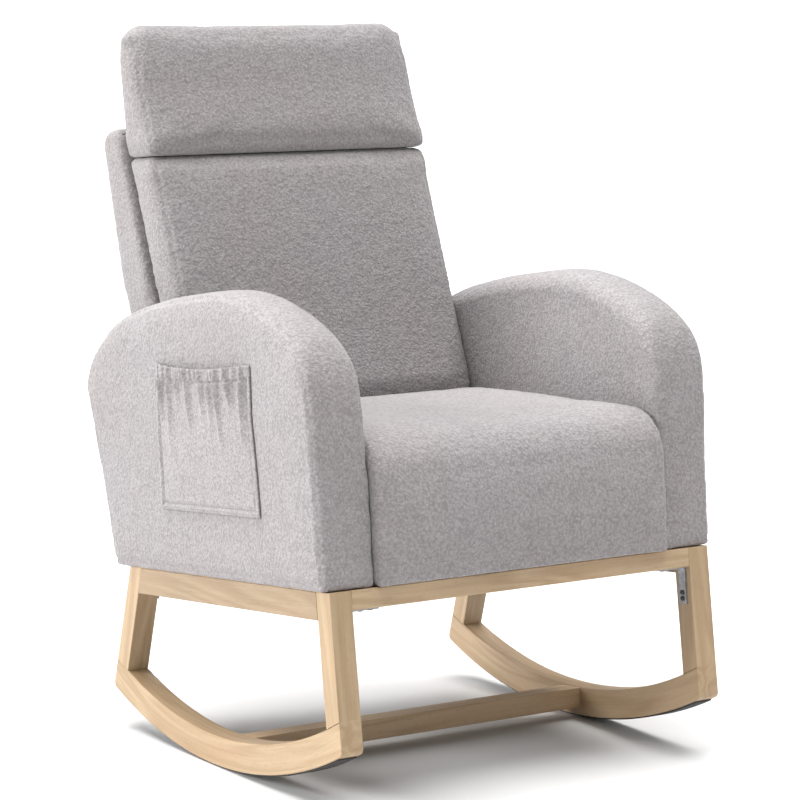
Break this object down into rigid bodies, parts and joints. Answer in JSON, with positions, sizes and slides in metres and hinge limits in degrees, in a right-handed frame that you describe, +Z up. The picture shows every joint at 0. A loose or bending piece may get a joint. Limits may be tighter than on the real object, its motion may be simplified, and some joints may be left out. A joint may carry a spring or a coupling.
{
  "type": "rocking chair",
  "caption": "Upholstered rocking chair on a wooden frame with two curved rockers, rounded arms with a gathered side pocket each, and a tall leaning back with a headrest section.",
  "frame": {"origin": "on the floor, under the middle of the chair's box", "axes": "+Z up, the chair faces -Y, +X is the left side of the person who sits in it"},
  "size_m": [0.686, 0.8046, 1.0346],
  "materials": {
    "base_wood": "satin clear lacquer",
    "grip_rubber": "matt",
    "zinc_steel": "zinc plated",
    "black_steel": "black oxide",
    "plywood": "raw",
    "frame_pine": "raw",
    "felt": "pressed felt",
    "cover_cloth": "spun black cloth",
    "webbing": "woven elastic",
    "elastic": "covered elastic",
    "pocket_cloth": "woven cloth",
    "boucle": "looped pile cloth"
  },
  "bodies": {
    "root": {"arm_bolts": "zinc_steel", "arm_front_post_left": "frame_pine", "arm_front_post_right": "frame_pine", "arm_pad_left": "boucle", "arm_pad_right": "boucle", "arm_panel_left": "plywood", "arm_panel_right": "plywood", "arm_rear_post_left": "frame_pine", "arm_rear_post_right": "frame_pine", "arm_sill_left": "frame_pine", "arm_sill_right": "frame_pine", "arm_top_board_left": "frame_pine", "arm_top_board_right": "frame_pine", "back_bolts": "zinc_steel", "back_cushion": "boucle", "back_lower_rail": "frame_pine", "back_middle_rail": "frame_pine", "back_post_left": "frame_pine", "back_post_right": "frame_pine", "back_shell": "boucle", "back_top_rail": "frame_pine", "back_webbing": "webbing", "base_bolts": "zinc_steel", "base_washers": "zinc_steel", "brace_screws": "black_steel", "corner_blocks": "frame_pine", "corner_braces": "zinc_steel", "dust_cover": "cover_cloth", "frame_dowels": "base_wood", "frame_nuts": "zinc_steel", "front_leg_left": "base_wood", "front_leg_right": "base_wood", "front_rail": "base_wood", "headrest": "boucle", "pocket_elastic_left": "elastic", "pocket_elastic_right": "elastic", "pocket_left": "pocket_cloth", "pocket_right": "pocket_cloth", "rear_leg_left": "base_wood", "rear_leg_right": "base_wood", "rear_rail": "base_wood", "rocker_grip_left": "grip_rubber", "rocker_grip_right": "grip_rubber", "rocker_left": "base_wood", "rocker_right": "base_wood", "seat_cushion": "boucle", "seat_frame_front": "frame_pine", "seat_frame_rear": "frame_pine", "seat_frame_side_left": "frame_pine", "seat_frame_side_right": "frame_pine", "seat_insulator": "felt", "seat_springs": "zinc_steel", "side_rail_left": "base_wood", "side_rail_right": "base_wood", "spring_clips": "zinc_steel", "stretcher": "base_wood", "threaded_inserts": "zinc_steel"}
  },
  "joints": []
}
